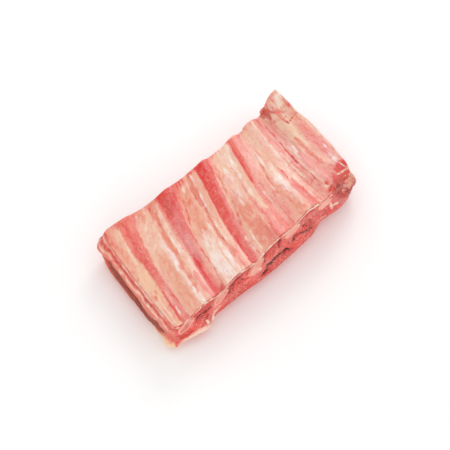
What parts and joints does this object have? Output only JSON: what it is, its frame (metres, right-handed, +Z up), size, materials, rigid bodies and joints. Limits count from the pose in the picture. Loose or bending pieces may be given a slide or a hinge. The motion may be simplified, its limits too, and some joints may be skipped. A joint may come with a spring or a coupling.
{
  "type": "raw beef chuck short rib",
  "caption": "Raw slab of beef chuck short ribs, bone side up, with fat-covered rib bones set in red meat and sawn square at both long edges.",
  "frame": {"origin": "middle of the slab's footprint, on the surface it lies on", "axes": "+X along the two long saw cuts, across the ribs, towards the end with the raised corner flap; +Y across the slab, from the near saw cut to the far one; +Z up, out of the bone side"},
  "size_m": [0.314, 0.158, 0.0595],
  "materials": {
    "meat": "moist raw beef muscle under cream fat and a thin glossy membrane",
    "bone": "moist fresh rib bone, pale rim and pink-red marrow where sawn"
  },
  "bodies": {
    "root": {"meat": "meat", "rib_bone_1": "bone", "rib_bone_2": "bone", "rib_bone_3": "bone", "rib_bone_4": "bone", "rib_bone_5": "bone", "rib_bone_6": "bone"}
  },
  "joints": []
}
